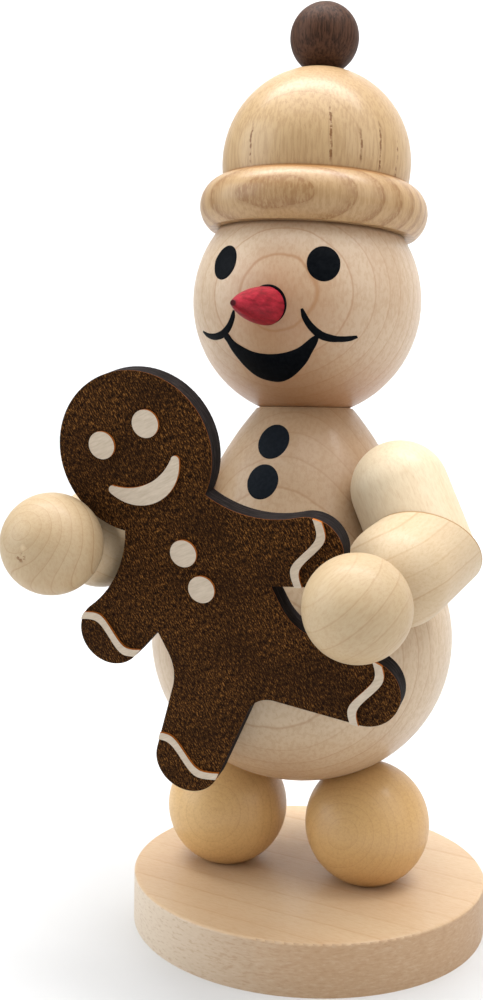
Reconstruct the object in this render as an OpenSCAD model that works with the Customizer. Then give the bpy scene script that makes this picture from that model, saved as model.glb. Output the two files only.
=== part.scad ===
// Turned wooden snowman on a round base, holding a cut-out gingerbread figure.
// Millimetres, +Z up, the figure faces -Y. The origin is the centre of the base's underside.

/* [Base] */
// Diameter of the round base
base_d = 46.9; // [44:0.1:52]
// Thickness of the base
base_t = 6.5; // [5:0.1:9]
// Radius of the softened top edge of the base
base_edge_r = 0.45; // [0.3:0.05:2]
// Place of the figure's axis across the base
figure_x = -1.45; // [-3:0.05:3]
// Place of the figure's axis along the base
figure_y = -0.4; // [-3:0.1:3]

/* [Feet] */
// Diameter of a foot ball
foot_d = 16.2; // [13:0.1:17]
// Distance between the centres of the feet
foot_span = 19.64; // [17.5:0.1:21]
// How far the feet stand in front of the body's axis
foot_forward = 0.9; // [0:0.1:2]
// Depth of the glue flat under a foot
foot_flat = 0.65; // [0.2:0.05:0.9]
// Depth to which a foot sits in the body
foot_seat = 1.2; // [0.5:0.05:1.5]
// Diameter of the dowel through a foot
leg_dowel_d = 2.5; // [2:0.5:4]
// How far a leg dowel stands inward of its foot's centre
leg_dowel_inset = 1.2; // [0:0.1:1.5]
// Length of a leg dowel in the base
leg_dowel_in_base = 4; // [2:0.5:4.5]
// Length of a leg dowel in the body
leg_dowel_in_body = 5; // [3:0.5:8]

/* [Body] */
// Largest diameter of the belly
belly_d = 39.8; // [38:0.1:42]
// Radius of the belly's round side, seen in section
belly_side_r = 18.5; // [17.5:0.1:19]
// Slope of the body's side above the belly, from upright
cone_slope = 24; // [20:0.5:28]
// Height of the straight part of that side
cone_h = 12.4; // [10:0.1:15]
// Radius of the round shoulder above the straight part, seen in section
crown_r = 43; // [36:0.5:60]
// Height of the round shoulder
crown_h = 10.3; // [8:0.1:11]

/* [Head] */
// Diameter of the head
head_d = 29.7; // [27:0.1:32]
// Diameter of the flat under the head
neck_flat_d = 11.6; // [9:0.1:12.5]
// Gap in which the head turns on the body
neck_gap = 0.05; // [0.05:0.05:0.3]
// Diameter of the neck dowel
neck_dowel_d = 6; // [4:0.5:7]
// Length of the neck dowel in the body
neck_dowel_in_body = 12; // [8:0.5:16]
// Length of the neck dowel in the head
neck_dowel_in_head = 9; // [6:0.5:10]
// Radial clearance of the neck dowel in the head
neck_clearance = 0.05; // [0.02:0.01:0.1]

/* [Nose] */
// Diameter of the nose at the head
nose_d = 4.6; // [3.6:0.1:6]
// Length of the nose outside the head
nose_length = 10.2; // [7:0.1:13]
// Diameter of the blunt end of the nose
nose_tip_d = 0.6; // [0.4:0.1:1.6]
// Bulge of the nose's side: half of the angle by which its arc turns, in degrees
nose_bulge = 9; // [2:0.5:14]
// Length of the nose's shank in the head
nose_in_head = 4; // [2:0.5:5]
// How far below the head's equator the nose stands, in degrees
nose_drop = 6.8; // [0:0.2:10]
// How far the nose stands to the figure's left, in degrees
nose_turn = -1.8; // [-4:0.1:4]
// How far the nose points down, in degrees
nose_dip = 3.5; // [0:0.5:8]

/* [Hat] */
// Diameter of the hat's dome
dome_d = 24.35; // [22:0.05:26]
// Diameter of the flat on the dome under the ball
dome_flat_d = 6; // [4:0.1:7]
// Height of the dome's centre above the brim's top
dome_rise = 2.28; // [1:0.1:4]
// How far the brim stays inside the head's width
brim_inset = 0.12; // [0:0.02:0.8]
// Height of the brim from its flat underside to its top
brim_h = 6.55; // [6:0.05:7]
// Thickness of the brim's roll
brim_roll_d = 7.5; // [6.5:0.1:8.5]
// Height of the brim's top above the head's top
hat_lift = 0.45; // [0:0.05:1]
// Lean of the hat to its left, in degrees
hat_lean = 2.9; // [0:0.1:6]
// Shift of the hat to its left
hat_shift = 0.85; // [0:0.05:1.5]
// Diameter of the hat's dowel
hat_dowel_d = 5; // [3:0.5:6]
// Length of the hat's dowel in the head
hat_dowel_in_head = 6; // [3:0.5:7]
// Length of the hat's dowel in the hat
hat_dowel_in_hat = 7; // [4:0.5:9]

/* [Pompom] */
// Diameter of the ball on the hat
pompom_d = 8.84; // [7:0.02:10]
// Depth of the glue flat under the ball
pompom_flat = 0.2; // [0.05:0.05:0.4]
// Diameter of the ball's dowel
pompom_dowel_d = 2.5; // [1.5:0.5:3.5]
// Length of that dowel in the ball, and again in the hat
pompom_dowel_reach = 4; // [2.5:0.5:5]

/* [Arms] */
// Diameter of the upper arms
arm_d = 11.8; // [10:0.1:12.5]
// Distance from the centre of the domed shoulder to the elbow
arm_half = 8.2; // [7:0.1:10]
// How far an upper arm falls from level, in degrees
arm_drop = 61.9; // [50:0.1:75]
// How far an upper arm turns from sideways to the front, in degrees
arm_turn = 25.3; // [10:0.1:40]
// Diameter of the forearms
forearm_d = 12.3; // [10:0.1:13]
// Distance from the elbow to the centre of the forearm's domed end
forearm_half = 7.85; // [7:0.05:10]
// How far a forearm falls from level, in degrees
forearm_drop = 12.6; // [0:0.1:20]
// How far a forearm turns in from straight ahead, in degrees
forearm_turn = 10.2; // [0:0.1:20]
// Play between a forearm and the belly that it passes
belly_play = 0.06; // [0.04:0.01:0.2]
// Diameter of a hand
hand_d = 11.7; // [10:0.1:13]
// Depth of the glue flats between a forearm and its hand
wrist_flat = 0.45; // [0.2:0.05:0.8]
// Direction of a shoulder from the body's axis, in degrees from the front
shoulder_turn = 57.7; // [45:0.5:70]
// Height of a shoulder's centre above the straight side of the body
shoulder_rise = 0.65; // [-1:0.05:2]
// Depth to which a shoulder is let into the body's side
shoulder_sink = 1; // [0.5:0.05:1.5]
// How much higher the right hand is held than the left, in degrees at the shoulder
right_arm_raise = 13.9; // [5:0.1:20]
// How much further out the right hand is held, in degrees at the shoulder
right_arm_splay = 12.4; // [5:0.1:16]
// Diameter of the shoulder and wrist pins
pin_d = 3; // [2:0.5:4]
// Length of a shoulder pin on each side of the joint
shoulder_pin_reach = 5; // [3:0.5:6]
// Length of a wrist pin on each side of the joint
wrist_pin_reach = 5; // [3:0.5:7]

/* [Gingerbread] */
// Thickness of the cut-out at its burnt face
cookie_t = 2.75; // [2:0.05:3.5]
// Height of the icing above the burnt face
icing_h = 0.35; // [0.2:0.05:0.6]
// Forward lean of the cut-out, in degrees
cookie_lean = 12; // [8:0.5:16]
// Turn of the cut-out in its own plane, in degrees
cookie_tilt = 24.5; // [20:0.5:30]
// Place of its head's centre across the figure
cookie_head_x = -11.05; // [-13:0.05:-9]
// Height of its head's centre above the belly's centre, along the cut-out
cookie_head_rise = 30.1; // [28:0.1:32]
// Glue gap between the cut-out and the belly
cookie_glue = 0.05; // [0.02:0.01:0.2]
// Radius of its head
cookie_head_r = 9.4; // [8.5:0.1:10.5]
// Radius of the round end of its arm
cookie_hand_r = 4; // [3.6:0.1:4.6]
// Radius of the hollow between its neck and its arm
cookie_shoulder_r = 13; // [9:0.5:30]
// Radius of the round end of its leg
cookie_foot_r = 4.1; // [3.8:0.1:4.8]
// Half of its width at the waist
cookie_waist = 7.9; // [7:0.1:9]
// Radius of the curve from its waist to its leg
cookie_flare_r = 6; // [4:0.2:7]
// Radius of the curve between its legs
cookie_crotch_r = 3; // [2:0.1:3.5]
// Radius of an icing eye
icing_eye_r = 1.6; // [1.2:0.05:2]
// Radius of an icing button
icing_button_r = 1.6; // [1.2:0.05:2]
// Width of an icing stripe
icing_stripe_w = 1.0; // [0.7:0.05:1.3]
// Swing of the wavy icing stripe
icing_stripe_swing = 1.05; // [0.4:0.05:1.4]

/* [Hidden] */
$fn = 96;
left = 1;
right = -1;

// Feet: each ball stands on the base and sits in the belly by its seat
foot_r = foot_d / 2;
foot_z = base_t + foot_r - foot_flat;
foot_out = norm([foot_span / 2, foot_forward]);
leg_dowel_length = leg_dowel_in_base + foot_d - foot_flat - foot_seat + leg_dowel_in_body;

// Body section: the belly's round side, a straight slope and a round shoulder
belly_ring_r = belly_d / 2 - belly_side_r;
belly_reach = belly_side_r + foot_r - foot_seat;
belly_z = foot_z + sqrt(pow(belly_reach, 2) - pow(foot_out - belly_ring_r, 2));
cone_foot_z = belly_z + belly_side_r * sin(cone_slope);
cone_foot_r = belly_ring_r + belly_side_r * cos(cone_slope);
cone_top_z = cone_foot_z + cone_h;
cone_top_r = cone_foot_r - cone_h * tan(cone_slope);
crown_centre = [cone_top_r - crown_r * cos(cone_slope), cone_top_z - crown_r * sin(cone_slope)];
neck_z = cone_top_z + crown_h;

// Head: it stands on the body with its flat
head_r = head_d / 2;
head_flat_z = neck_z + neck_gap;
head_z = head_flat_z + sqrt(pow(head_r, 2) - pow(neck_flat_d / 2, 2));

// Hat, in its own frame with the brim's top as its origin
brim_roll_r = brim_roll_d / 2;
brim_roll_ring_r = head_r - brim_inset - brim_roll_r;
dome_r = dome_d / 2;
dome_edge_r = sqrt(pow(dome_r, 2) - pow(dome_rise, 2));
brim_roll_z = -sqrt(pow(brim_roll_r, 2) - pow(dome_edge_r - brim_roll_ring_r, 2));
pompom_seat_z = dome_rise + sqrt(pow(dome_r, 2) - pow(dome_flat_d / 2, 2));
pompom_z = pompom_seat_z + pompom_d / 2 - pompom_flat;
hat_rise = head_r + hat_lift;

// Arms, in a frame with the shoulder's centre as its origin: the upper arm runs down and out,
// the forearm runs forward, a little down and in
arm_r = arm_d / 2;
hand_r = hand_d / 2;
forearm_r = forearm_d / 2;
upper_way = falling(arm_drop, -arm_turn);
fore_way = falling(forearm_drop, -90 - forearm_turn);
elbow = arm_half * upper_way;
mitre_way = unit(upper_way + fore_way);
cuff = elbow + forearm_half * fore_way;
wrist = cuff + (forearm_r - wrist_flat) * fore_way;
hand = wrist + (hand_r - wrist_flat) * fore_way;
shoulder_z = cone_top_z + shoulder_rise;
shoulder_body_r = cone_top_r - shoulder_rise * tan(cone_slope);
shoulder_out = shoulder_body_r + (arm_r - shoulder_sink) / cos(cone_slope);

// Gingerbread outline, in its own frame with its head's centre as its origin, one half of it
cookie_neck = [5.6, -7.5];
cookie_hand = [13.75, -17.9];
cookie_armpit = [7.9, -19.85];
cookie_waist_y = -22.6;
cookie_foot_left = [12.35, -34.8];
cookie_foot_right = [12.4, -35.8];
cookie_crotch_y = -31.8;
cookie_back = belly_side_r + belly_ring_r * cos(cookie_lean) - belly_z * sin(cookie_lean) + cookie_glue;
flare_centre = [cookie_waist + cookie_flare_r, cookie_waist_y];
crotch_centre = [0, cookie_crotch_y - cookie_crotch_r];
shoulder_centre = meet(cookie_neck, cookie_shoulder_r, cookie_hand, cookie_shoulder_r + cookie_hand_r, 1);

far = 4 * base_d;

function unit(v) = v / norm(v);
function along(a) = [cos(a), sin(a)];
// The direction that falls from level by one angle and lies at another seen from above
function falling(drop, turn) = [cos(drop) * cos(turn), cos(drop) * sin(turn), -sin(drop)];
// The point at given distances from two others, on the given side of the line between them
function meet(p, p_r, q, q_r, side) =
    let (v = q - p, d = norm(v))
    let (a = atan2(v.y, v.x) + side * acos((d * d + p_r * p_r - q_r * q_r) / (2 * d * p_r)))
    p + p_r * along(a);
// The point where a line from p touches a circle, on the given side of it
function touch(p, c, r, side) =
    let (v = c - p, a = atan2(v.y, v.x) + side * asin(r / norm(v)))
    p + sqrt(v * v - r * r) * along(a);
// The inner tangent of two circles, which crosses between them
function cross_rim(c1, r1, c2, r2, side) =
    let (v = c2 - c1, a = atan2(v.y, v.x) + side * acos((r1 + r2) / norm(v)))
    [c1 + r1 * along(a), c2 - r2 * along(a)];

module on_figure() { translate([figure_x, figure_y, 0]) children(); }

// Turns +Z to the way from one point to another, and stands at the first
module aim(from, to) {
    way = to - from;
    translate(from) rotate([0, acos(way.z / norm(way)), atan2(way.y, way.x)]) children();
}

module rod(from, to, d) { aim(from, to) cylinder(d = d, h = norm(to - from)); }

// A round rod that starts with a dome about the first point
module domed_rod(from, to, d) {
    aim(from, to) turned() {
        circle(d = d);
        square([d / 2, norm(to - from)]);
    }
}

// Everything beyond the plane through a point, on the side to which its normal points
module beyond(point, normal) {
    aim(point, point + normal) translate([-far, -far, 0]) cube(2 * far);
}

// A closed section for turning, without what lies across the axis
module turned() {
    rotate_extrude() intersection() {
        children();
        translate([0, -far]) square(2 * far);
    }
}

module at_foot(side) { translate([side * foot_span / 2, -foot_forward, 0]) children(); }

module leg_rod(side) {
    at_foot(side) translate([-side * leg_dowel_inset, 0, base_t - leg_dowel_in_base])
        cylinder(d = leg_dowel_d, h = leg_dowel_length);
}

module at_hat() { translate([hat_shift, 0, head_z + hat_rise]) rotate([0, hat_lean, 0]) children(); }

module at_nose() {
    translate([0, 0, head_z]) rotate([90 + nose_drop, 0, nose_turn]) translate([0, 0, head_r])
        rotate([nose_dip - nose_drop, 0, 0]) children();
}

module hat_rod() {
    at_hat() translate([0, 0, -hat_lift - hat_dowel_in_head])
        cylinder(d = hat_dowel_d, h = hat_dowel_in_head + hat_dowel_in_hat);
}

module pompom_rod() {
    at_hat() translate([0, 0, pompom_seat_z - pompom_dowel_reach])
        cylinder(d = pompom_dowel_d, h = 2 * pompom_dowel_reach);
}

// The frame of one arm, the right one mirrored, raised and splayed
module at_shoulder(side) {
    mirror([side == right ? 1 : 0, 0, 0])
        rotate([0, 0, shoulder_turn - 90]) translate([shoulder_out, 0, shoulder_z])
        rotate([0, 0, 90 - shoulder_turn])
        rotate([0, 0, side == right ? right_arm_splay : 0])
        rotate([side == right ? -right_arm_raise : 0, 0, 0]) children();
}

module shoulder_rod(side) {
    mirror([side == right ? 1 : 0, 0, 0])
        rotate([0, 0, shoulder_turn - 90])
        translate([shoulder_body_r - shoulder_pin_reach, 0, shoulder_z]) rotate([0, 90, 0])
        cylinder(d = pin_d, h = 2 * shoulder_pin_reach);
}

// What lies inside the flat on a shoulder, where it is glued to the body's slope
module inside_shoulder(side) {
    mirror([side == right ? 1 : 0, 0, 0])
        rotate([0, 0, shoulder_turn - 90]) translate([shoulder_body_r, 0, shoulder_z])
        beyond([0, 0, 0], [-cos(cone_slope), 0, -sin(cone_slope)]);
}

module wrist_rod(side) {
    at_shoulder(side)
        rod(wrist - wrist_pin_reach * fore_way, wrist + wrist_pin_reach * fore_way, pin_d);
}

// The belly and the cone with their play, which leave a shallow hollow in a forearm that would touch them
module belly_hollow() {
    play = belly_play * along(cone_slope);
    turned() {
        translate([belly_ring_r, belly_z]) circle(belly_side_r + belly_play);
        polygon([[0, belly_z], [cone_foot_r, cone_foot_z] + play, [cone_top_r, cone_top_z] + play, [0, cone_top_z]]);
    }
}

module body_blank() {
    turned() {
        translate([belly_ring_r, belly_z]) circle(belly_side_r);
        translate([0, belly_z - belly_side_r]) square([belly_ring_r, belly_side_r]);
        polygon([[0, belly_z], [belly_ring_r, belly_z], [cone_foot_r, cone_foot_z],
            [cone_top_r, cone_top_z], [0, cone_top_z]]);
        intersection() {
            translate(crown_centre) circle(crown_r);
            translate([0, cone_top_z]) square([crown_r, crown_h]);
        }
    }
}

// One half of the gingerbread figure without its head
module cookie_half(foot) {
    arm_top = cookie_hand + cookie_hand_r * unit(shoulder_centre - cookie_hand);
    arm_low = touch(cookie_armpit, cookie_hand, cookie_hand_r, -1);
    outer = cross_rim(flare_centre, cookie_flare_r, foot, cookie_foot_r, -1);
    inner = cross_rim(crotch_centre, cookie_crotch_r, foot, cookie_foot_r, 1);
    difference() {
        polygon([[0, 0], cookie_neck, arm_top, cookie_hand, arm_low, cookie_armpit, [0, cookie_armpit.y]]);
        translate(shoulder_centre) circle(cookie_shoulder_r);
    }
    translate(cookie_hand) circle(cookie_hand_r);
    difference() {
        polygon([[0, cookie_neck.y], cookie_armpit, [cookie_waist, cookie_waist_y], outer[0], outer[1],
            foot, inner[1], inner[0], [0, inner[0].y]]);
        translate(flare_centre) circle(cookie_flare_r);
        translate(crotch_centre) circle(cookie_crotch_r);
    }
    translate(foot) circle(cookie_foot_r);
}

module cookie_outline() {
    circle(cookie_head_r);
    cookie_half(cookie_foot_left);
    mirror([1, 0]) cookie_half(cookie_foot_right);
}

// A wavy stripe between two points of the outline
module icing_stripe(from, to, swing) {
    steps = 48;
    round_off = 0.75;
    way = unit(to - from);
    over = [-way.y, way.x];
    function sway(s) = swing * asin(round_off * sin(360 * s)) / asin(round_off);
    function wave(s, w) = from + s * (to - from) + (sway(s) + w) * over;
    polygon([
        for (i = [0 : steps]) wave(i / steps, icing_stripe_w / 2),
        for (i = [steps : -1 : 0]) wave(i / steps, -icing_stripe_w / 2)]);
}

module icing() {
    eye = [3.1, 2.4];
    buttons_y = [-12.6, -17.2];
    arm_stripe = [[16.5, -14.5], [10.9, -21.6]];
    leg_stripe = [[15.5, -31.2], [9.5, -38.8]];
    for (side = [left, right]) translate([side * eye.x, eye.y]) circle(icing_eye_r);
    for (y = buttons_y) translate([0, y]) circle(icing_button_r);
    icing_smile();
    intersection() {
        cookie_outline();
        for (limb = [arm_stripe, leg_stripe], side = [left, right])
            icing_stripe([side * limb[0].x, limb[0].y], [side * limb[1].x, limb[1].y], icing_stripe_swing);
    }
}

// A crescent between two arcs, whose round ends touch both
module icing_smile() {
    outer_r = 5.3;
    outer_y = -0.75;
    inner_r = 6.4;
    inner_y = 2.65;
    end_r = 0.5;
    end = meet([0, outer_y], outer_r - end_r, [0, inner_y], inner_r + end_r, -1);
    past_end = far * unit(end - [0, outer_y]);
    intersection() {
        difference() {
            translate([0, outer_y]) circle(outer_r);
            translate([0, inner_y]) circle(inner_r);
        }
        translate([0, outer_y])
            polygon([[0, 0], past_end, [far, -far], [-far, -far], [-past_end.x, past_end.y]]);
    }
    for (side = [left, right]) translate([side * end.x, end.y]) circle(end_r);
}

module at_cookie() {
    rotate([90 + cookie_lean, 0, 0])
        translate([cookie_head_x, belly_z * cos(cookie_lean) + cookie_head_rise, cookie_back])
        rotate([0, 0, cookie_tilt]) children();
}

module cookie_blank() {
    at_cookie() {
        linear_extrude(cookie_t) cookie_outline();
        linear_extrude(cookie_t + icing_h) icing();
    }
}

module base_plate() {
    color("burlywood") difference() {
        turned() {
            square([base_d / 2 - base_edge_r, base_t]);
            square([base_d / 2, base_t - base_edge_r]);
            translate([base_d / 2 - base_edge_r, base_t - base_edge_r]) circle(base_edge_r);
        }
        on_figure() for (side = [left, right]) leg_rod(side);
    }
}

module foot(side) {
    color("tan") on_figure() difference() {
        at_foot(side) translate([0, 0, foot_z]) sphere(foot_r);
        beyond([0, 0, base_t], [0, 0, -1]);
        leg_rod(side);
    }
}

module foot_left() { foot(left); }
module foot_right() { foot(right); }

module leg_dowel_left() { color("peru") on_figure() leg_rod(left); }
module leg_dowel_right() { color("peru") on_figure() leg_rod(right); }

module body() {
    color("wheat") on_figure() difference() {
        body_blank();
        for (side = [left, right]) {
            at_foot(side) translate([0, 0, foot_z]) sphere(foot_r);
            leg_rod(side);
            shoulder_rod(side);
        }
        translate([0, 0, neck_z - neck_dowel_in_body])
            cylinder(d = neck_dowel_d, h = neck_dowel_in_body + neck_gap);
    }
}

module neck_dowel() {
    color("peru") on_figure() translate([0, 0, neck_z - neck_dowel_in_body])
        cylinder(d = neck_dowel_d, h = neck_dowel_in_body + neck_dowel_in_head);
}

module nose_blank() {
    // The cone's side is a bulging arc from the head to the blunt end
    base_point = [nose_d / 2, 0];
    tip_point = [nose_tip_d / 2, nose_length];
    chord = tip_point - base_point;
    arc_r = norm(chord) / 2 / sin(nose_bulge);
    middle = (base_point + tip_point) / 2;
    inward = unit([-chord.y, chord.x]);
    at_nose() turned() {
        translate([0, -nose_in_head]) square([nose_d / 2, nose_in_head]);
        intersection() {
            translate(middle + inward * arc_r * cos(nose_bulge)) circle(arc_r, $fn = 720);
            square([nose_d, nose_length]);
        }
    }
}

module head() {
    color("wheat") on_figure() difference() {
        translate([0, 0, head_z]) sphere(head_r);
        beyond([0, 0, head_flat_z], [0, 0, -1]);
        translate([0, 0, head_flat_z - neck_gap])
            cylinder(d = neck_dowel_d + 2 * neck_clearance, h = neck_dowel_in_head + 2 * neck_gap);
        hat_rod();
        at_nose() translate([0, 0, -nose_in_head]) cylinder(d = nose_d, h = nose_in_head + nose_length);
    }
}

module nose() { color("firebrick") on_figure() nose_blank(); }

module hat_dowel() { color("peru") on_figure() hat_rod(); }

module hat() {
    color("sandybrown") on_figure() difference() {
        at_hat() turned() {
            intersection() {
                translate([0, dome_rise]) circle(dome_r);
                square([dome_r, pompom_seat_z]);
            }
            translate([brim_roll_ring_r, brim_roll_z]) circle(brim_roll_r);
            translate([0, brim_roll_z - brim_roll_r])
                square([brim_roll_ring_r, brim_roll_r - brim_roll_z + dome_rise]);
        }
        at_hat() beyond([0, 0, -brim_h], [0, 0, -1]);
        translate([0, 0, head_z]) sphere(head_r);
        hat_rod();
        pompom_rod();
    }
}

module pompom_dowel() { color("peru") on_figure() pompom_rod(); }

module pompom() {
    color("saddlebrown") on_figure() difference() {
        at_hat() translate([0, 0, pompom_z]) sphere(d = pompom_d);
        at_hat() beyond([0, 0, pompom_seat_z], [0, 0, -1]);
        pompom_rod();
    }
}

module shoulder_pin_left() { color("peru") on_figure() shoulder_rod(left); }
module shoulder_pin_right() { color("peru") on_figure() shoulder_rod(right); }

module upper_arm(side) {
    color("moccasin") on_figure() difference() {
        at_shoulder(side) difference() {
            domed_rod([0, 0, 0], elbow + arm_d * upper_way, arm_d);
            beyond(elbow, mitre_way);
        }
        inside_shoulder(side);
        shoulder_rod(side);
    }
}

module upper_arm_left() { upper_arm(left); }
module upper_arm_right() { upper_arm(right); }

module forearm(side) {
    color("moccasin") on_figure() difference() {
        at_shoulder(side) difference() {
            domed_rod(cuff, elbow - forearm_d * fore_way, forearm_d);
            beyond(elbow, -mitre_way);
            beyond(wrist, fore_way);
        }
        wrist_rod(side);
        cookie_blank();
        belly_hollow();
    }
}

module forearm_left() { forearm(left); }
module forearm_right() { forearm(right); }

module wrist_pin_left() { color("peru") on_figure() wrist_rod(left); }
module wrist_pin_right() { color("peru") on_figure() wrist_rod(right); }

// A hand is a ball with a flat for the forearm, notched where it grips the gingerbread
module hand_ball(side) {
    color("moccasin") on_figure() difference() {
        at_shoulder(side) difference() {
            aim(hand, wrist) sphere(hand_r);
            beyond(wrist, -fore_way);
        }
        wrist_rod(side);
        cookie_blank();
    }
}

module hand_left() { hand_ball(left); }
module hand_right() { hand_ball(right); }

module gingerbread() { color("saddlebrown") on_figure() cookie_blank(); }

base_plate();
foot_left();
foot_right();
leg_dowel_left();
leg_dowel_right();
body();
neck_dowel();
head();
nose();
hat_dowel();
hat();
pompom_dowel();
pompom();
shoulder_pin_left();
shoulder_pin_right();
upper_arm_left();
upper_arm_right();
forearm_left();
forearm_right();
wrist_pin_left();
wrist_pin_right();
hand_left();
hand_right();
gingerbread();
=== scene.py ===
"""Looks of the turned wooden snowman: lacquered pale woods, painted face, burnt gingerbread board."""
import math

import bmesh
import bpy
import numpy as np
from mathutils import Matrix, Vector


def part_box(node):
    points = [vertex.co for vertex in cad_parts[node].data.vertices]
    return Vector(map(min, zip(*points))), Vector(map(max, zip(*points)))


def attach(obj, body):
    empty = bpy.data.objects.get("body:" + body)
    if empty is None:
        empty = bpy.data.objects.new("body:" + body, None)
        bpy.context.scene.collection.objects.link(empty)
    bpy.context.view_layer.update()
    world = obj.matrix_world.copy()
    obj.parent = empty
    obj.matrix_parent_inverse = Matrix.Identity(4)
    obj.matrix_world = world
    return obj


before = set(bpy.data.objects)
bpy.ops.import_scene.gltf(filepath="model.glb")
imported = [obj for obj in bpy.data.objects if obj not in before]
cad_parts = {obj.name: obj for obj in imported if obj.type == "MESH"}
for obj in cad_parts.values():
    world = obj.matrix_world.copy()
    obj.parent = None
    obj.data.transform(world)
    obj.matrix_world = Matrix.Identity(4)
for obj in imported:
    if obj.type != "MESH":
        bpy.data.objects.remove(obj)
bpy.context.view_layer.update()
MM = 0.001

# The photograph's camera: its place from the figure's axis, its turn, and its focal length in pixels
PHOTO_H = 1000
CAMERA_FROM_AXIS = (44.93, -143.11, 66.85)
CAMERA_YAW = 20.56
CAMERA_PITCH = 4.19
CAMERA_ROLL = -0.78
FOCAL_PX = 1132.25
SENSOR = 36.0

# Studio light: the sky's strength, and each panel's place, aim, size, power and tint
SKY = 0.24
WHITE = (1.0, 1.0, 1.0)
COOL = (0.90, 0.96, 1.0)
PANELS = [
    ("overhead_panel", (0.0, -0.12, 0.52), (0.0, -0.06, 0.07), (0.46, 0.42), 1.75, WHITE),
    ("left_panel", (-0.87, -0.46, 0.40), (0.0, 0.0, 0.05), (0.85, 0.76), 6.3, COOL),
    ("right_panel", (0.44, -0.12, 0.32), (0.0, 0.0, 0.06), (0.45, 0.45), 1.1, WHITE),
    ("wall_wash", (0.0, 0.05, 0.75), (0.0, 0.65, 0.25), (1.0, 0.30), 11.0, WHITE),
]

# Places that the solids give, in millimetres
FIGURE = np.array([-1.45, -0.4])


def middle(node):
    """The centre of a node's box, in millimetres."""
    low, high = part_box(node)
    return np.array([(a + b) / 2 / MM for a, b in zip(low, high)])


def top_of(node):
    """The height of a node's highest point, in millimetres."""
    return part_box(node)[1][2] / MM


HEAD_R = 14.85
HEAD_FLAT_R = 5.8
NECK_Z = top_of("body")
HEAD_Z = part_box("head")[0][2] / MM + math.sqrt(HEAD_R ** 2 - HEAD_FLAT_R ** 2)
HEAD = np.array([FIGURE[0], FIGURE[1], HEAD_Z])
HAT_LEAN = math.radians(2.9)
HAT_SEAM_RISE = 0.45
HAT_SEAM_Z = HEAD_Z + HEAD_R + HAT_SEAM_RISE
HAT_BRIM_H = 6.55
DOME_H = 11.8
DOME_Z = top_of("hat") - DOME_H
SMOOTH_UP_TO = math.radians(28)
WELD_WITHIN = 0.0005 * MM


class Val:
    """A number socket with operators: each expression adds one Math node."""

    def __init__(self, net, socket):
        self.net = net
        self.socket = socket

    def math(self, operation, *others):
        return self.net.node("ShaderNodeMath", {"operation": operation}, [self, *others])

    def __add__(self, other):
        return self.math("ADD", other)

    __radd__ = __add__

    def __sub__(self, other):
        return self.math("SUBTRACT", other)

    def __rsub__(self, other):
        return self.net.node("ShaderNodeMath", {"operation": "SUBTRACT"}, [other, self])

    def __mul__(self, other):
        return self.math("MULTIPLY", other)

    __rmul__ = __mul__

    def __truediv__(self, other):
        return self.math("DIVIDE", other)

    def __pow__(self, other):
        return self.math("POWER", other)

    def sqrt(self):
        return self.math("SQRT")

    def fraction(self):
        return self.math("FRACT")

    def absolute(self):
        return self.math("ABSOLUTE")

    def least(self, other):
        return self.math("MINIMUM", other)

    def step(self, low, high, to_low=0.0, to_high=1.0):
        """A smooth step from to_low to to_high as the value goes from low to high."""
        return self.net.node("ShaderNodeMapRange", {"interpolation_type": "SMOOTHSTEP"},
                             [self, low, high, to_low, to_high])


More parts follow.
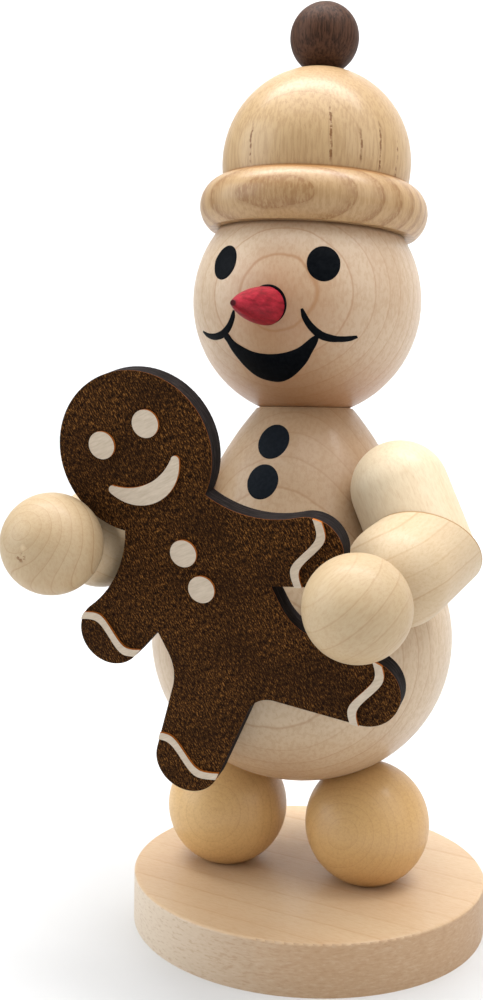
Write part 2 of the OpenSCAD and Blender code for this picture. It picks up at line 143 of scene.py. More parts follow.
class Net:
    """The node tree of one material, filled through one node-making method."""

    def __init__(self, name):
        self.material = bpy.data.materials.new(name)
        self.material.use_nodes = True
        self.tree = self.material.node_tree
        self.shader = self.tree.nodes["Principled BSDF"]

    def node(self, kind, settings=None, inputs=(), output=0):
        """Adds a node: settings first, then its sockets by order or by name, and returns one output."""
        made = self.tree.nodes.new(kind)
        for key, value in (settings or {}).items():
            if key == "stops":
                while len(made.color_ramp.elements) < len(value):
                    made.color_ramp.elements.new(1.0)
                for element, (place, colour) in zip(made.color_ramp.elements, value):
                    element.position = place
                    element.color = (*colour, 1.0)
            else:
                setattr(made, key, value)
        pairs = inputs.items() if isinstance(inputs, dict) else enumerate(inputs)
        for key, value in pairs:
            self.set(made.inputs[key], value)
        return Val(self, made.outputs[output])

    def set(self, socket, value):
        """Links a value to a socket, or sets the socket's own number or colour."""
        if isinstance(value, Val):
            self.tree.links.new(value.socket, socket)
        elif isinstance(value, (tuple, list)) and len(value) == 3 and len(socket.default_value) == 4:
            socket.default_value = (*value, 1.0)
        else:
            socket.default_value = value

    def finish(self, **sockets):
        """Sets the shader's sockets: Base_Color=... stands for "Base Color"."""
        for key, value in sockets.items():
            self.set(self.shader.inputs[key.replace("_", " ")], value)
        return self.material

    def place(self, centre, grain):
        """Object coordinates in millimetres about a centre, turned so that the grain runs along Z."""
        turn = Vector(grain).rotation_difference(Vector((0, 0, 1))).to_euler()
        shifted = self.node("ShaderNodeVectorMath", {"operation": "SUBTRACT"},
                            [self.node("ShaderNodeTexCoord", output=3), tuple(c * MM for c in centre)])
        return self.node("ShaderNodeMapping", {}, {0: shifted, 2: tuple(turn), 3: (1 / MM, 1 / MM, 1 / MM)})

    def stretch(self, vector, scale):
        """A vector with each axis scaled."""
        return self.node("ShaderNodeVectorMath", {"operation": "MULTIPLY"}, [vector, scale])

    def parts(self, vector):
        """The three numbers of a vector."""
        split = self.tree.nodes.new("ShaderNodeSeparateXYZ")
        self.tree.links.new(vector.socket, split.inputs[0])
        return [Val(self, output) for output in split.outputs]

    def noise(self, vector, scale, detail=2.0, rough=0.5):
        """A noise value from 0 to 1."""
        return self.node("ShaderNodeTexNoise", {},
                         {"Vector": vector, "Scale": scale, "Detail": detail, "Roughness": rough})

    def mix(self, factor, first, second):
        """A colour between two."""
        made = self.tree.nodes.new("ShaderNodeMix")
        made.data_type = "RGBA"
        for key, value in ((0, factor), (6, first), (7, second)):
            self.set(made.inputs[key], value)
        return Val(self, made.outputs[2])

    def ramp(self, factor, *stops):
        """A colour from a row of (place, colour) stops."""
        return self.node("ShaderNodeValToRGB", {"stops": stops}, [factor])

    def bump(self, height, distance):
        """A normal from a height, in millimetres."""
        return self.node("ShaderNodeBump", {},
                         {"Strength": 1.0, "Distance": distance * MM, "Height": height})

    def dot(self, vector, axis):
        """How far a vector goes along an axis."""
        return self.node("ShaderNodeVectorMath", {"operation": "DOT_PRODUCT"},
                         [vector, tuple(float(a) for a in axis)], output=1)


def srgb(red, green, blue):
    """A display colour, from 0 to 255, as linear numbers."""
    def linear(c):
        c /= 255
        return c / 12.92 if c <= 0.04045 else ((c + 0.055) / 1.055) ** 2.4
    return tuple(linear(c) for c in (red, green, blue))


END_GRAIN_TINT = (0.93, 0.8, 0.56)


def wood(name, centre, grain, pith, ring, pale, line, ring_depth=0.5, fleck=0.35, wobble=0.3,
         gloss=0.34, coat=0.14, shine=0.4, seed=0.0, pores=(3.2, 0.9), pore_step=(0.38, 0.72),
         end_grain=0.0, marks=None):
    """Turned wood: rings are the distance from a pith line along the grain, bent by long noise.

    The pith is given from the piece's centre, in millimetres. Each ring fades from pale early wood to a
    thin darker line. Over it lie short flecks along the grain and broad soft clouds. End grain, where the
    surface faces along the grain, takes up more lacquer and is darker. A piece's own marks, if any, come
    last: marks(net, tone, height) gives the new tone and height.
    """
    net = Net(name)
    at = net.place(centre, grain)
    upright = Vector(grain).rotation_difference(Vector((0, 0, 1)))
    pith_x, pith_y, _ = upright @ Vector(pith)
    offset = (seed * 37.0, seed * 19.0, seed * 53.0)
    shifted = net.node("ShaderNodeVectorMath", {"operation": "ADD"}, [at, offset])
    bend = net.noise(net.stretch(shifted, (0.045, 0.045, 0.016)), 1.0, 2.0) - 0.5
    fine_bend = net.noise(net.stretch(shifted, (0.35, 0.35, 0.06)), 1.0, 2.0) - 0.5
    x, y, _ = net.parts(at)
    from_pith = ((x - pith_x) ** 2 + (y - pith_y) ** 2).sqrt()
    rings = (from_pith + bend * (6.0 * wobble) + fine_bend * (0.9 * wobble)) / ring
    part = rings.fraction()
    ring_tone = net.node("ShaderNodeTexWhiteNoise", {"noise_dimensions": "1D"},
                         {"W": rings.math("FLOOR") + seed * 11.0})
    late = part.step(0.3, 0.93) * (1.0 - part.step(0.94, 1.0))
    thin = part.step(0.87, 0.925) * (1.0 - part.step(0.935, 0.985))
    cloud = net.noise(net.stretch(shifted, (0.09, 0.09, 0.03)), 1.0, 3.0)
    flecks = net.noise(net.stretch(shifted, (pores[0], pores[0], pores[1])), 1.0, 3.0, 0.6)
    dashes = net.noise(net.stretch(shifted, (7.5, 7.5, 1.3)), 1.0, 2.0, 0.6).step(0.52, 0.78)
    dark = (late * 0.22 + thin * 0.78) * (ring_tone * 0.6 + 0.4)
    tone = net.mix(dark * ring_depth, srgb(*pale), srgb(*line))
    tone = net.mix(cloud.step(0.35, 0.75) * 0.2, tone, srgb(*line))
    tone = net.mix((flecks.step(*pore_step) * 0.6 + dashes * 0.5) * fleck, tone, srgb(*line))
    height = flecks * -0.4 + dashes * -0.3
    if end_grain:
        facing = net.dot(net.node("ShaderNodeNewGeometry", output=1), grain).absolute()
        soaked = srgb(*(c * tint for c, tint in zip(line, END_GRAIN_TINT)))
        tone = net.mix(facing.step(0.35, 1.0) * end_grain, tone, soaked)
    if marks:
        tone, height = marks(net, tone, height)
    return net.finish(Base_Color=tone, Roughness=flecks * 0.12 + gloss, Normal=net.bump(height, 0.03),
                      Coat_Weight=coat, Coat_Roughness=0.16, IOR=1.48, Specular_IOR_Level=shine)


# Open pores in the hat's dome: the angle from the front to its left, in degrees, and the lowest and the
# highest point over the dome's centre
HAT_SLITS = [
    (-20.0, -1.6, 2.9), (29.0, -2.0, 4.4), (46.3, -1.8, 1.6), (59.0, -2.6, 3.0), (73.0, -3.0, 1.4),
    (118.0, -1.0, 4.2), (152.0, 0.0, 6.0), (171.0, -1.2, 2.4), (-62.0, -1.0, 1.8), (-98.0, 0.0, 5.0),
    (-127.0, -1.4, 3.2)]
# The brim's rings: their pith from the figure's axis, a ring's width, and where the first one starts
BRIM_PITH = (1.9, 27.95)
BRIM_RING = 1.9
BRIM_START = 1.54


def hat_marks(net, tone, height):
    """Dark open pores up the dome, an amber line in the seam over the brim, and rings on the roll."""
    at = net.place((*FIGURE, DOME_Z), (0, 0, 1))
    x, y, z = net.parts(at)
    over_seam = z + x * math.tan(HAT_LEAN) - (HAT_SEAM_Z - DOME_Z)
    broken = net.noise(net.stretch(at, (0.7, 0.7, 1.7)), 1.0, 3.0, 0.65)
    wander = net.noise(net.stretch(at, (0.5, 0.5, 0.8)), 1.0, 3.0, 0.6) - 0.5
    slit = 0.0
    for angle, low, high in HAT_SLITS:
        side, front = math.sin(math.radians(angle)), math.cos(math.radians(angle))
        beside = (x * front + y * side + wander * 0.7).absolute() - broken * 0.24
        ahead = (x * side - y * front).step(0.0, 1.0)
        tall = z.step(low - 0.5, low + 0.5) * (1.0 - z.step(high - 1.0, high + 1.0))
        slit = (1.0 - beside.step(-0.06, 0.06)) * ahead * tall + slit
    slit = slit * broken.step(0.38, 0.56)
    on_brim = 1.0 - over_seam.step(-0.5, 0.1)
    bend = net.noise(net.stretch(at, (0.3, 0.3, 0.1)), 1.0, 2.0) - 0.5
    from_pith = ((x - BRIM_PITH[0]) ** 2 + (y - BRIM_PITH[1]) ** 2).sqrt()
    part = ((from_pith + bend * 0.5 + BRIM_START) / BRIM_RING).fraction()
    mottle = net.noise(net.stretch(at, (2.6, 2.6, 0.9)), 1.0, 3.0, 0.65).step(0.36, 0.6)
    ring = (1.0 - part.step(0.02, 0.62)) * (mottle * 0.65 + 0.35) + part.step(0.9, 1.0) * 0.4
    seam = 1.0 - (over_seam + 0.12).absolute().step(0.08, 0.42)
    tone = net.mix(on_brim * 0.2, tone, srgb(150, 104, 56))
    tone = net.mix(ring * on_brim * 0.62, tone, srgb(130, 84, 40))
    tone = net.mix(seam * 0.75, tone, srgb(150, 98, 40))
    tone = net.mix(slit.least(1.0) * 0.85, tone, srgb(120, 76, 36))
    return tone, height - slit * 1.6


def glue_line(point, way):
    """Marks for a mitred piece: a thin brown line of glue along the cut through a point, across a way."""
    def marks(net, tone, height):
        from_cut = net.dot(net.node("ShaderNodeTexCoord", output=3), np.array(way) / MM)
        near = (from_cut - float(np.dot(point, way))).absolute()
        return net.mix((1.0 - near.step(0.1, 0.28)) * 0.85, tone, srgb(150, 104, 40)), height
    return marks


def rim_grain_and_painted_light(net, tone, height):
    """End grain on the disc's rim: short level dashes, lighter and darker than the face. The rim is also
    painted paler where it faces left and darker where it faces right: painted light and shade.
    """
    at = net.place((0, 0, 0), (0, 0, 1))
    dashes = net.noise(net.stretch(at, (1.1, 1.1, 4.2)), 1.0, 3.0, 0.6)
    facing = net.parts(net.node("ShaderNodeNewGeometry", output=1))
    on_rim = 1.0 - facing[2].absolute().step(0.3, 0.75)
    # Painted light and shade: the rim's tone goes from pale on its left-facing side to dark on its
    # right-facing side
    rim_lit_and_shaded_tone = net.mix(facing[0].step(-0.9, 0.5), srgb(215, 201, 183), srgb(168, 135, 102))
    tone = net.mix(on_rim * 0.75, tone, rim_lit_and_shaded_tone)
    tone = net.mix(on_rim * (1.0 - dashes.step(0.34, 0.47)) * 0.34, tone, srgb(160, 122, 86))
    tone = net.mix(on_rim * dashes.step(0.5, 0.68) * 0.13, tone, srgb(222, 206, 184))
    return tone, height + on_rim * dashes * 0.4


def pith_speck(place):
    """Marks for a ball that was cut through its pith: a few brown dots about a place on its surface."""
    def marks(net, tone, height):
        at = net.place(place, (0, 0, 1))
        away = net.node("ShaderNodeVectorMath", {"operation": "LENGTH"}, [at], output=1)
        dots = net.noise(at, 2.6, 2.0).step(0.52, 0.6) * (1.0 - away.step(0.35, 0.8))
        return net.mix(dots * 0.8, tone, srgb(120, 76, 32)), height - dots * 0.8
    return marks


def head_warmth_and_brim_shadow(net, tone, height):
    """A warmer zone about the middle of the face, and a painted shadow: the dark line on the head where the
    brim's underside ends.
    """
    x, y, z = net.parts(net.place(HEAD, (0, 0, 1)))
    from_middle = ((x - 0.8) ** 2 + (z + 3.2) ** 2).sqrt()
    warm = (1.0 - from_middle.step(2.0, 12.0)) * (1.0 - y.step(-8.0, 0.0))
    tone = net.mix(warm * 0.5, tone, srgb(176, 122, 72))
    # Painted shadow under the brim: a narrow dark band on the head just below the brim's flat underside
    near = (z + x * math.tan(HAT_LEAN) + (HEAD_Z - HAT_SEAM_Z + HAT_BRIM_H)).step(-0.5, -0.02)
    return net.mix(near * 0.65, tone, srgb(84, 58, 34)), height


def body_marks(net, tone, height):
    """A warmer tone up the body's cone, more so on its left side."""
    across, _, up = net.parts(net.place((*FIGURE, 0.0), (0, 0, 1)))
    warm = up.step(44.0, 60.0) * across.step(-8.0, 4.0, 0.2, 0.4)
    return net.mix(warm, tone, srgb(160, 114, 68)), height


def paint(name, colour, rough, grain_depth, centre, lift=1.25):
    """Paint or stain on wood: fine brush and grain marks change its tone and its sheen a little."""
    net = Net(name)
    at = net.place(centre, (0, 0, 1))
    marks = net.noise(net.stretch(at, (2.4, 0.5, 2.4)), 1.0, 3.0, 0.6)
    cloud = net.noise(at, 0.35, 2.0)
    base = srgb(*colour)
    light = tuple(min(1.0, c * lift + 0.004) for c in base)
    tone = net.mix(marks.step(0.35, 0.7) * 0.6 + cloud * 0.25, base, light)
    return net.finish(Base_Color=tone, Roughness=marks * 0.16 + rough, Normal=net.bump(marks, grain_depth),
                      Specular_IOR_Level=0.03)


def nose_stain(name):
    """Red stain that shows the cone's grain as darker lines along it, and its end grain as a dark tip."""
    net = Net(name)
    low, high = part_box("nose")
    tip = np.array([FIGURE[0], low[1] / MM, (low[2] + high[2]) / 2 / MM])
    at = net.place(tip, (0, 0, 1))
    along = net.parts(at)[1]
    grain = net.noise(net.stretch(at, (2.2, 0.28, 2.2)), 1.0, 3.0, 0.6)
    specks = net.noise(net.stretch(at, (4.5, 1.5, 4.5)), 1.0, 2.0, 0.6)
    tone = net.ramp(grain, (0.25, srgb(100, 11, 23)), (0.5, srgb(141, 23, 39)), (0.75, srgb(171, 42, 57)))
    tone = net.mix(specks.step(0.58, 0.75) * 0.5, tone, srgb(112, 22, 34))
    tone = net.mix(1.0 - along.step(0.02, 0.3), tone, srgb(70, 16, 22))
    return net.finish(Base_Color=tone, Roughness=grain * 0.2 + 0.48, Specular_IOR_Level=0.15,
                      Normal=net.bump(grain + specks * 0.5, 0.05))


# The gingerbread's own frame: the centre of its head on the burnt face, its axes and its face's normal
LEAN = math.radians(12.0)
TILT = math.radians(24.5)
ICING_H = 0.35
BOARD_OUT = np.array([0.0, -math.cos(LEAN), -math.sin(LEAN)])
BOARD_RISE = np.array([0.0, -math.sin(LEAN), math.cos(LEAN)])
BOARD_X = math.cos(TILT) * np.array([1.0, 0, 0]) + math.sin(TILT) * BOARD_RISE
BOARD_Y = -math.sin(TILT) * np.array([1.0, 0, 0]) + math.cos(TILT) * BOARD_RISE


def board_face():
    """The distance of the burnt face from the origin along its normal: the icing's top less its height."""
    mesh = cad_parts["gingerbread"].data
    points = np.empty(len(mesh.vertices) * 3)
    mesh.vertices.foreach_get("co", points)
    return (points.reshape(-1, 3) @ BOARD_OUT).max() / MM - ICING_H


BOARD_FACE = board_face()


def burnt_board(name):
    """Laser-burnt board: fibrous dark brown face, charred edges and pale icing that stands above the face.

    The height over the face tells the icing's top from the face, and the surface's own normal tells the
    edges from both.
    """
    net = Net(name)
    at = net.node("ShaderNodeTexCoord", output=3)
    across, up, out = (net.dot(at, axis / MM) for axis in (BOARD_X, BOARD_Y, BOARD_OUT))
    over_face = out - BOARD_FACE
    flat = net.node("ShaderNodeCombineXYZ", {}, [across, up, over_face])
    facing = net.dot(net.node("ShaderNodeNewGeometry", output=1), BOARD_OUT).absolute()
    on_face = facing.step(0.4, 0.8)
    icing = over_face.step(0.22, 0.26) * on_face
    fibre = net.noise(net.stretch(flat, (6.8, 1.7, 1.0)), 1.0, 3.0, 0.6)
    tufts = net.noise(net.stretch(flat, (8.5, 4.6, 1.0)), 1.0, 2.0, 0.65)
    cloud = net.noise(flat, 0.13, 3.0)
    brown = net.ramp(fibre * 0.6 + tufts * 0.4, (0.385, srgb(10, 4, 1)), (0.475, srgb(40, 23, 9)),
                     (0.55, srgb(82, 51, 22)), (0.655, srgb(160, 108, 53)))
    brown = net.mix(cloud.step(0.42, 0.66) * 0.5, brown, srgb(34, 18, 7))
    layers = net.noise(net.stretch(flat, (0.5, 0.5, 5.0)), 1.0, 3.0, 0.6)
    soot = net.ramp(layers, (0.3, srgb(17, 14, 13)), (0.55, srgb(34, 29, 28)), (0.8, srgb(62, 55, 53)))
    wall = net.mix(over_face.step(-0.1, 0.02), soot, srgb(172, 96, 34))
    pale_grain = net.noise(net.stretch(flat, (0.8, 5.0, 1.0)), 1.0, 3.0, 0.6)
    sugar = net.ramp(pale_grain, (0.3, srgb(188, 172, 152)), (0.7, srgb(206, 191, 172)))
    tone = net.mix(on_face, wall, brown)
    tone = net.mix(icing, tone, sugar)
    height = (fibre * 0.7 + tufts * 0.8) * on_face * (1.0 - icing)
    height = height + layers * 0.3 * (1.0 - on_face) + pale_grain * 0.1
    return net.finish(Base_Color=tone, Roughness=0.86 - icing * 0.16, Normal=net.bump(height, 0.1),
                      Specular_IOR_Level=0.06)


def grid_faces(rows, columns, wrap=False):
    """Quads of a grid of points in row order, as index arrays."""
    across = columns if wrap else columns - 1
    row, column = np.meshgrid(np.arange(rows - 1), np.arange(across), indexing="ij")
    after = (column + 1) % columns
    here, below = row * columns, (row + 1) * columns
    corners = [here + column, here + after, below + after, below + column]
    return np.stack([c.ravel() for c in corners], 1)


def piece(name, points, faces, material, body):
    """A mesh piece from millimetre points, merged, turned outwards, smooth, riding on a body."""
    mesh = bpy.data.meshes.new(name)
    mesh.from_pydata((points * MM).tolist(), [], faces.tolist())
    work = bmesh.new()
    work.from_mesh(mesh)
    bmesh.ops.remove_doubles(work, verts=work.verts, dist=0.002 * MM)
    bmesh.ops.dissolve_degenerate(work, dist=0.0005 * MM, edges=work.edges)
    bmesh.ops.recalc_face_normals(work, faces=work.faces)
    work.to_mesh(mesh)
    work.free()
    mesh.polygons.foreach_set("use_smooth", np.ones(len(mesh.polygons), dtype=bool))
    mesh.materials.append(material)
    made = bpy.data.objects.new(name, mesh)
    bpy.context.collection.objects.link(made)
    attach(made, body)


def patch(name, upper, lower, surface, material, body, slot, thick=0.05, rows=25, lift=0.006):
    """A thin film of paint on a curved surface.

    The film lies between an upper and a lower line in the front view, both arrays of (x, z). Points between
    them are carried onto the surface. The film swells from its edge to its full thickness in a quarter of
    its width, and a back face lies just under the surface.
    """
    share = np.linspace(0, 1, rows)[:, None, None]
    flat = upper[None] * (1 - share) + lower[None] * share
    edge = np.minimum(share[..., 0], 1 - share[..., 0]) * 4
    rise = np.repeat(np.sqrt(np.clip(edge, 0, 1)), len(upper), axis=1)
    front = surface(flat, lift + thick * rise)
    back = surface(flat, np.full(rise.shape, -0.12))
    count = rows * len(upper)
    quads = grid_faces(rows, len(upper))
    rim = np.concatenate([
        np.arange(len(upper)),
        np.arange(1, rows) * len(upper) + len(upper) - 1,
        (rows - 1) * len(upper) + np.arange(len(upper) - 2, -1, -1),
        np.arange(rows - 2, 0, -1) * len(upper)])
    after = np.roll(rim, -1)
    side = np.stack([rim, after, after + count, rim + count], 1)
    faces = np.concatenate([quads, quads[:, ::-1] + count, side])
    points = np.concatenate([front.reshape(-1, 3), back.reshape(-1, 3)])
    piece(name, points, faces, material, body)


def on_head(flat, lift):
    """Front-view points (x across, z up from the head's centre) carried back onto the head's ball."""
    x, z = flat[..., 0], flat[..., 1]
    y = -np.sqrt(np.clip(HEAD_R ** 2 - x ** 2 - z ** 2, 0, None))
    ball = np.stack([x, y, z], -1)
    return HEAD + ball * (1 + lift / HEAD_R)[..., None]


def body_radius(z):
    """The body's radius on its upper slope: a straight cone that goes over into an arc at the shoulder."""
    slope = math.radians(24)
    start_z = NECK_Z - 10.3
    start_r = 12.75
    arc_r = 43.0
    turn = np.arcsin(np.clip(math.sin(slope) + (z - start_z) / arc_r, -1, 1))
    arc = start_r - arc_r * (math.cos(slope) - np.cos(turn))
    return np.where(z < start_z, start_r - (z - start_z) * math.tan(slope), arc)


def on_body(flat, lift):
    """Front-view points (x across, z up from the base) carried back onto the body's slope."""
    x, z = flat[..., 0], flat[..., 1]
    r = body_radius(z) + lift
    y = -np.sqrt(np.clip(r ** 2 - x ** 2, 0, None))
    return np.stack([FIGURE[0] + x, FIGURE[1] + y, z], -1)


def oval(centre, half_w, half_h, lean=0.0, count=49):
    """The upper and the lower half of an ellipse whose top leans to the right by an angle in degrees."""
    turn = np.linspace(math.pi, 0, count)
    side, up = math.sin(math.radians(lean)), math.cos(math.radians(lean))

    def half(sign):
        x, z = half_w * np.cos(turn), sign * half_h * np.sin(turn)
        return np.stack([centre[0] + x * up + z * side, centre[1] + z * up - x * side], 1)

    return half(1), half(-1)


def curve(points, count=41):
    """A smooth line through a few points: a Catmull-Rom curve with its ends repeated."""
    p = np.asarray(points, float)
    p = np.concatenate([2 * p[:1] - p[1:2], p, 2 * p[-1:] - p[-2:-1]])
    s = np.linspace(0, len(points) - 1 - 1e-9, count)
    i = s.astype(int)
    t = (s - i)[:, None]
    a, b, c, d = (p[i + k] for k in range(4))
    square = 2 * a - 5 * b + 4 * c - d
    cube = 3 * b - a - 3 * c + d
    return 0.5 * (2 * b + (c - a) * t + square * t ** 2 + cube * t ** 3)


def stroke(points, widths, count=41):
    """The two edges of a brush stroke: its middle line, moved to either side by half its width."""
    line = curve(points, count)
    way = np.gradient(line, axis=0)
    way /= np.linalg.norm(way, axis=1, keepdims=True)
    over = np.stack([-way[:, 1], way[:, 0]], 1)
    half = np.interp(np.linspace(0, 1, count), np.linspace(0, 1, len(widths)), widths)[:, None] / 2
    return line + over * half, line - over * half


# Painted features in the front view, millimetres from the head's centre: the head stands a little askew
EYES = [("left", (6.08, 3.2), (1.8, 2.15), -17.0), ("right", (-6.52, 3.83), (1.72, 2.15), 15.0)]
CHEEKS = [
    ("left", [(3.85, -2.1), (4.2, -3.2), (4.85, -4.25), (5.75, -5.1), (6.7, -5.45), (7.6, -5.55),
              (8.6, -5.48), (9.6, -5.2)],
     [0.3, 0.66, 0.76, 0.86, 0.95, 0.93, 0.86, 0.7, 0.66, 0.56, 0.3]),
    ("right", [(-4.88, -2.1), (-5.15, -3.0), (-5.75, -3.95), (-6.7, -4.7), (-7.8, -5.02), (-8.8, -5.02),
               (-9.8, -4.78), (-10.75, -4.25)],
     [0.3, 0.66, 0.76, 0.86, 0.95, 0.92, 0.85, 0.78, 0.66, 0.52, 0.25])]
LIP_TOP = [
    (5.6, -5.0), (4.75, -5.42), (3.25, -6.53), (1.75, -7.1), (0.2, -7.34), (-1.35, -7.3), (-2.9, -6.96),
    (-4.5, -6.2), (-5.35, -5.6), (-5.95, -4.85), (-6.5, -4.6)]
LIP_LOW = [
    (5.6, -5.0), (5.4, -5.9), (4.5, -7.33), (3.63, -8.5), (1.9, -9.93), (0.2, -10.6), (-1.36, -10.5),
    (-2.89, -9.98), (-4.27, -8.84), (-5.66, -7.1), (-6.42, -5.8), (-6.9, -5.1), (-6.5, -4.6)]
# A painted shadow: a dark disc just larger than the nose's base and set off its centre, so that a dark
# crescent shows beside the nose
NOSE_SHADOW = (-0.26, -1.58)
NOSE_SHADOW_R = 2.36
CHEST_BUTTONS = [("upper", (-1.1, 63.85)), ("lower", (-1.5, 58.95))]
CHEST_BUTTON_HALF = (2.08, 2.12)


def painted_face(black, button):
    """The snowman's eyes, smile and cheek lines, a painted shadow as a dark disc about the nose's base, and
    two dots on its chest.
    """
    def on_face(name, lines, rows, thick=0.05):
        patch(name, *lines, on_head, black, "head_group", "body_wood", thick, rows)

    for word, centre, halves, lean in EYES:
        on_face("eye_" + word, oval(centre, *halves, lean), 25)
    for word, points, widths in CHEEKS:
        on_face("cheek_line_" + word, stroke(points, widths), 13)
    on_face("smile", (curve(LIP_TOP, 61), curve(LIP_LOW, 61)), 33)
    # The dark disc about the nose's base is a painted shadow of the gap round the nose
    on_face("nose_painted_shadow", oval(NOSE_SHADOW, NOSE_SHADOW_R, NOSE_SHADOW_R), 25, 0.02)
    for word, centre in CHEST_BUTTONS:
        dot = oval(centre, *CHEST_BUTTON_HALF)
        patch("chest_button_" + word, *dot, on_body, button, "figure", "body_wood", lift=0.03)


def neck_washer(material):
    """A thin disc of glue in the gap under the head: a closed profile carried round the figure's axis."""
    low, high = NECK_Z + 0.008, NECK_Z + 0.042
    profile = np.array([(0.0, low), (3.0, low), (5.7, low), (6.0, NECK_Z - 0.02), (6.04, NECK_Z + 0.03),
                        (6.0, NECK_Z + 0.08), (5.7, high), (3.0, high), (0.0, high)])
    turn = np.linspace(0, 2 * math.pi, 72, endpoint=False)
    points = np.stack([
        FIGURE[0] + profile[:, :1] * np.cos(turn),
        FIGURE[1] + profile[:, :1] * np.sin(turn),
        np.repeat(profile[:, 1:], len(turn), axis=1)], -1)
    faces = grid_faces(len(profile), len(turn), wrap=True)
    piece("neck_washer", points.reshape(-1, 3), faces, material, "figure")


def dress(node, material):
    """Shows a CAD node smooth, in its material: loose triangles welded, and split again at real edges."""
    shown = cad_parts[node]
    weld = shown.modifiers.new("weld", "WELD")
    weld.merge_threshold = WELD_WITHIN
    split = shown.modifiers.new("edges", "EDGE_SPLIT")
    split.split_angle = SMOOTH_UP_TO
    shown.data.polygons.foreach_set("use_smooth", np.ones(len(shown.data.polygons), dtype=bool))
    shown.data.materials.clear()
    shown.data.materials.append(material)


def dress_all():
    """Each CAD node's own cut of wood: the grain's direction, the pith's place and the tone differ, though
    the right foot's paler tone is painted light.
    """
    upright = (0.0, 0.0, 1.0)
    grainy = {"fleck": 0.38, "pores": (2.3, 1.2), "pore_step": (0.43, 0.62)}
    dress("head", wood("head_maple", HEAD, upright, pith=(-0.3, 35.1, 0.0), ring=1.5, pale=(203, 180, 153),
                       line=(166, 122, 84), ring_depth=0.75, seed=1.0, end_grain=0.75,
                       marks=head_warmth_and_brim_shadow, **grainy))
    dress("body", wood("body_maple", (*FIGURE, 40.0), upright, pith=(-3.0, 50.0, 0.0), ring=1.9,
                       pale=(199, 177, 148), line=(156, 118, 80), ring_depth=0.6, seed=2.0, end_grain=0.5,
                       marks=body_marks, **grainy))
    dress("base_plate", wood("base_maple", (0, 0, 0), (0.98, -0.19, 0.0), pith=(0.0, 30.0, -30.0),
                             ring=3.6, pale=(207, 179, 144), line=(182, 134, 90), ring_depth=0.42,
                             gloss=0.46, coat=0.1, seed=3.0, marks=rim_grain_and_painted_light))
    dress("hat", wood("hat_ash", (*FIGURE, 95.0), upright, pith=(-0.5, 27.7, 0.0), ring=2.0,
                      pale=(194, 163, 121), line=(140, 100, 58), ring_depth=0.22, fleck=0.45, shine=0.32,
                      seed=4.0, pores=(2.8, 0.2), pore_step=(0.42, 0.62), marks=hat_marks))
    dress("pompom", wood("pompom_walnut", middle("pompom"), upright, pith=(2.0, 30.0, 0.0), ring=1.3,
                         pale=(85, 56, 40), line=(18, 11, 7), ring_depth=0.2, fleck=1.0, gloss=0.5,
                         coat=0.0, shine=0.15, seed=5.0, pores=(3.2, 0.26), pore_step=(0.38, 0.66)))
    dress("nose", nose_stain("nose_red_stain"))
    dress("gingerbread", burnt_board("burnt_board"))
    arm_tones = {"upper_arm": (223, 204, 173), "forearm": (202, 181, 149), "hand": (189, 166, 132)}
    speck = pith_speck(middle("hand_right") + np.array([-0.61, -5.65, -0.94]))
    left_cut = glue_line((17.212, -11.635, 51.305), (-0.1562, 0.7172, 0.6792))
    right_cut = glue_line((-20.669, -12.453, 51.849), (0.3371, 0.8057, 0.4870))
    for number, (node, grain, pith, ring, depth, marks) in enumerate((
            ("upper_arm_left", (0.42, -0.2, -0.88), (5.0, 30.0, 0.0), 3.0, 0.1, left_cut),
            ("upper_arm_right", (-0.42, -0.2, -0.88), (4.0, 28.0, 0.0), 3.0, 0.1, right_cut),
            ("forearm_left", (-0.17, -0.96, -0.22), (20.0, 0.0, -34.0), 2.5, 0.45, left_cut),
            ("forearm_right", (0.0, -0.99, 0.05), (-20.0, 0.0, -34.0), 2.5, 0.45, right_cut),
            ("hand_left", (0.66, 0.25, 0.71), (26.0, 10.0, -28.0), 2.2, 0.38, None),
            ("hand_right", (0.30, -0.75, 0.60), (-2.5, -0.95, -1.4), 1.1, 0.7, speck))):
        pale = arm_tones[node.rsplit("_", 1)[0]]
        line = tuple(c * f for c, f in zip(pale, (0.82, 0.70, 0.55)))
        dress(node, wood(node + "_lime", middle(node), grain, pith, ring, pale, line, ring_depth=depth,
                         fleck=0.34, gloss=0.46, coat=0.08, shine=0.35, seed=6.0 + number, marks=marks))
    # The right foot is painted paler than the left: painted light against the shade that the gingerbread
    # casts on it
    for number, (node, pith, pale) in enumerate((
            ("foot_left", (-3.4, -1.3, -2.4), (204, 164, 108)),
            ("foot_right", (-1.6, -0.6, -2.3), (216, 177, 119)))):
        dress(node, wood(node + "_beech", middle(node), (0.30, -0.85, 0.40), pith, ring=1.0, pale=pale,
                         line=(156, 108, 58), ring_depth=0.3, fleck=0.34, gloss=0.4, seed=12.0 + number,
                         pores=(3.6, 1.1)))
    dowel = wood("dowel_beech", (0, 0, 0), upright, (6.0, 60.0, 0.0), 2.4, (224, 190, 146), (190, 146, 98),
                 gloss=0.55, coat=0.0, seed=15.0)
    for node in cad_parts:
        if "dowel" in node or "pin" in node.split("_"):
            dress(node, dowel)


def sweep_profile():
    """The studio sweep in section: a flat floor, a quarter round and a wall, as (y, z) in metres."""
    front, bend_y, bend_r, top = -2.4, 0.35, 0.3, 1.2
    turn = np.linspace(0, math.pi / 2, 25)
    bend = np.stack([bend_y + bend_r * np.sin(turn), bend_r * (1 - np.cos(turn))], 1)
    return np.concatenate([[(front, 0.0)], bend, [(bend_y + bend_r, top)]])


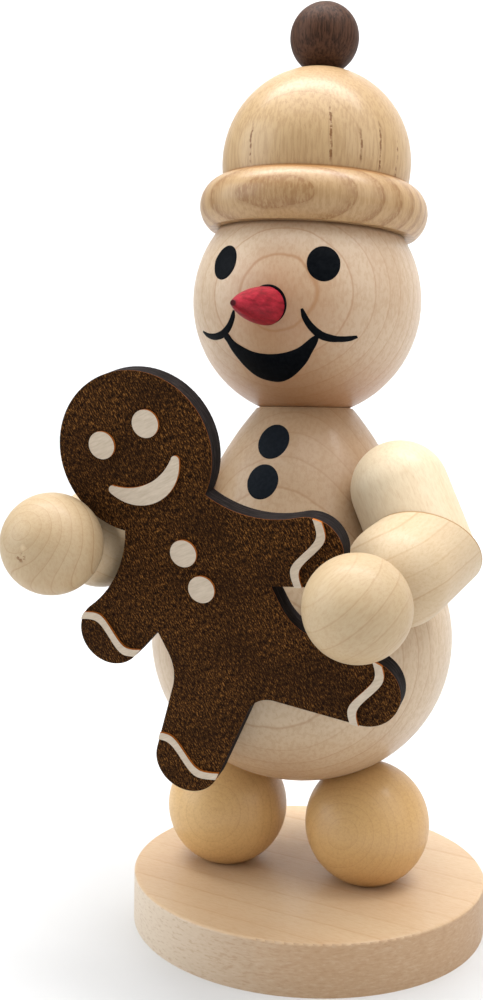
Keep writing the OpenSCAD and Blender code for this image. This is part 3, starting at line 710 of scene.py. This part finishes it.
def stage():
    """A pale studio sweep, lit by a large panel overhead, one on each side and a wash on the wall."""
    profile = sweep_profile()
    half = 2.4
    points = np.array([(x, y, z) for y, z in profile for x in (-half, half)])
    mesh = bpy.data.meshes.new("floor")
    mesh.from_pydata(points.tolist(), [], grid_faces(len(profile), 2).tolist())
    mesh.polygons.foreach_set("use_smooth", np.ones(len(mesh.polygons), dtype=bool))
    floor = bpy.data.objects.new("floor", mesh)
    bpy.context.collection.objects.link(floor)
    net = Net("floor_white")
    cloud = net.noise(net.node("ShaderNodeTexCoord", output=3), 9.0, 2.0)
    pale = net.mix(cloud * 0.3, (0.62, 0.62, 0.62), (0.59, 0.59, 0.59))
    mesh.materials.append(net.finish(Base_Color=pale, Roughness=0.8))
    scene = bpy.context.scene
    scene.view_settings.view_transform = "Standard"
    scene.view_settings.look = "None"
    world = bpy.data.worlds.new("studio")
    scene.world = world
    world.use_nodes = True
    sky = world.node_tree.nodes["Background"]
    sky.inputs["Color"].default_value = (1.0, 1.0, 1.0, 1.0)
    sky.inputs["Strength"].default_value = SKY
    for name, place, aim, size, power, tint in PANELS:
        light = bpy.data.lights.new(name, "AREA")
        light.shape = "RECTANGLE"
        light.size, light.size_y = size
        light.energy = power
        light.color = tint
        lamp = bpy.data.objects.new(name, light)
        lamp.location = place
        lamp.rotation_euler = (Vector(aim) - Vector(place)).to_track_quat("-Z", "Y").to_euler()
        bpy.context.collection.objects.link(lamp)


def photo_camera():
    """The camera at the photograph's place: turned by its yaw, pitch and roll, with its focal length."""
    yaw, pitch, roll = (math.radians(a) for a in (CAMERA_YAW, CAMERA_PITCH, CAMERA_ROLL))
    ahead = np.array([-math.sin(yaw) * math.cos(pitch), math.cos(yaw) * math.cos(pitch), -math.sin(pitch)])
    across = np.array([math.cos(yaw), math.sin(yaw), 0.0])
    down = np.cross(ahead, across)
    right = math.cos(roll) * across + math.sin(roll) * down
    under = -math.sin(roll) * across + math.cos(roll) * down
    data = bpy.data.cameras.new("photo_camera")
    data.sensor_fit = "VERTICAL"
    data.sensor_height = SENSOR
    data.lens = FOCAL_PX / PHOTO_H * SENSOR
    data.clip_start = 0.005
    camera = bpy.data.objects.new("photo_camera", data)
    bpy.context.collection.objects.link(camera)
    place = np.array(CAMERA_FROM_AXIS) + np.array([*FIGURE, 0.0])
    axes = Matrix([[right[i], -under[i], -ahead[i]] for i in range(3)]).to_4x4()
    camera.matrix_world = Matrix.Translation(Vector(place * MM)) @ axes
    bpy.context.scene.camera = camera


photo_camera()
stage()
dress_all()
black_paint = paint("black_paint", (6, 9, 13), 0.34, 0.012, HEAD)
# The chest buttons' paint is black with a painted sheen: a lighter blue-grey than the face's black stands
# in for their glossy reflection
painted_face(black_paint, paint("button_paint_with_painted_sheen", (20, 25, 31), 0.4, 0.012, HEAD))
neck_washer(paint("neck_glue", (206, 174, 136), 0.8, 0.01, HEAD))
